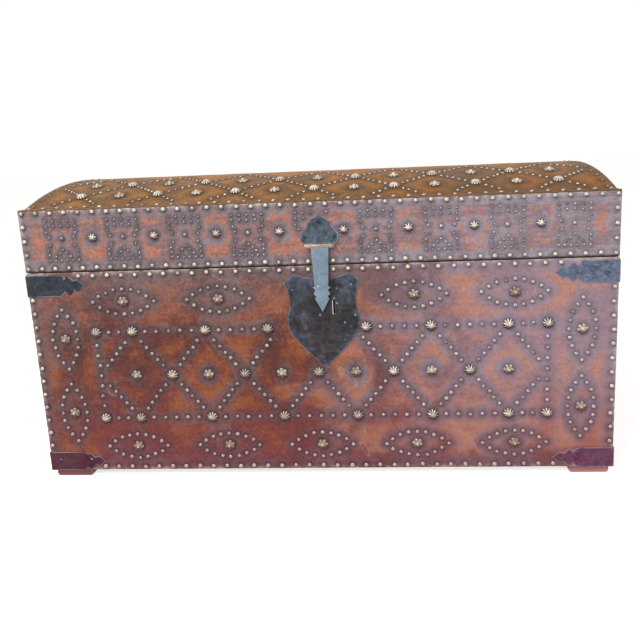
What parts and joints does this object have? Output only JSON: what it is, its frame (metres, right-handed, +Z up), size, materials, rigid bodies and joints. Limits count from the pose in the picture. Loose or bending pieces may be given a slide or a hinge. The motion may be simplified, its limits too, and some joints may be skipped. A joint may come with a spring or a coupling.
{
  "type": "studded leather chest",
  "caption": "Leather-covered wooden storage chest with a shallow domed lid, brass nail patterns, iron shield lock with hasp, corner plates, drop handles and block feet.",
  "frame": {"origin": "on the floor under the middle of the chest's width and depth", "axes": "+Z up; the front with the lock faces -Y; +X to the right of someone facing the front"},
  "size_m": [1.141, 0.5106, 0.5885],
  "materials": {
    "carcass_wood": "bare planed boards, dulled with age",
    "foot_wood": "stained and worn",
    "body_leather": "mottled, waxed, darkened round the nails",
    "lid_leather": "mottled, waxed, rubbed paler on top",
    "nail_brass": "aged, dull",
    "stud_brass": "aged, pressed pattern",
    "black_iron": "blackened, hammered",
    "corner_iron": "blackened, hammered",
    "worn_iron": "rubbed grey",
    "lock_iron": "plain, oiled"
  },
  "bodies": {
    "chest_body": {"front_board": "carcass_wood", "back_board": "carcass_wood", "left_end_board": "carcass_wood", "right_end_board": "carcass_wood", "bottom_planks": "carcass_wood", "front_left_foot": "foot_wood", "front_right_foot": "foot_wood", "back_left_foot": "foot_wood", "back_right_foot": "foot_wood", "front_leather": "body_leather", "back_leather": "body_leather", "left_end_leather": "body_leather", "right_end_leather": "body_leather", "upper_front_left_corner_plate": "corner_iron", "upper_front_right_corner_plate": "corner_iron", "upper_back_left_corner_plate": "corner_iron", "upper_back_right_corner_plate": "corner_iron", "lower_front_left_corner_plate": "corner_iron", "lower_front_right_corner_plate": "corner_iron", "lower_back_left_corner_plate": "corner_iron", "lower_back_right_corner_plate": "corner_iron", "lock_plate": "black_iron", "lock_case": "lock_iron", "key_pin": "lock_iron", "left_hinge_body_leaf": "black_iron", "right_hinge_body_leaf": "black_iron", "hinge_pins": "lock_iron", "left_handle_plate": "black_iron", "right_handle_plate": "black_iron", "front_nails": "nail_brass", "front_star_studs": "stud_brass", "front_flower_studs": "stud_brass", "body_side_nails": "nail_brass", "body_iron_nails": "black_iron"},
    "lid": {"lid_front_rail": "carcass_wood", "lid_back_rail": "carcass_wood", "lid_left_end": "carcass_wood", "lid_right_end": "carcass_wood", "lid_staves": "carcass_wood", "lid_front_leather": "lid_leather", "lid_back_leather": "lid_leather", "lid_left_end_leather": "lid_leather", "lid_right_end_leather": "lid_leather", "lid_top_leather": "lid_leather", "left_hinge_lid_leaf": "black_iron", "right_hinge_lid_leaf": "black_iron", "hasp_plate": "black_iron", "hasp_pin": "worn_iron", "lid_front_nails": "nail_brass", "lid_front_star_studs": "stud_brass", "lid_top_nails": "nail_brass", "lid_top_melon_studs": "stud_brass", "lid_top_flower_studs": "stud_brass", "lid_side_nails": "nail_brass", "lid_iron_nails": "black_iron"},
    "hasp": {"hasp_strap": "worn_iron", "hasp_staple": "worn_iron"},
    "lock_bolt": {"lock_bolt": "lock_iron"},
    "left_handle": {"left_handle_bail": "black_iron"},
    "right_handle": {"right_handle_bail": "black_iron"}
  },
  "joints": [
    {"name": "lid_hinge", "type": "hinge", "parent": "chest_body", "child": "lid", "pos_m": [0, 0.2513, 0.42075], "axis": [-1, 0, 0], "range_deg": [0, 100]},
    {"name": "hasp_hinge", "type": "hinge", "parent": "lid", "child": "hasp", "pos_m": [0.014, -0.2493, 0.457], "axis": [-1, 0, 0], "range_deg": [0, 150]},
    {"name": "bolt_slide", "type": "slide", "parent": "chest_body", "child": "lock_bolt", "axis": [-1, 0, 0], "range_m": [0, 0.014]},
    {"name": "left_handle_swing", "type": "hinge", "parent": "chest_body", "child": "left_handle", "pos_m": [-0.562, 0, 0.252], "axis": [0, 1, 0], "range_deg": [0, 90]},
    {"name": "right_handle_swing", "type": "hinge", "parent": "chest_body", "child": "right_handle", "pos_m": [0.562, 0, 0.252], "axis": [0, -1, 0], "range_deg": [0, 90]}
  ]
}
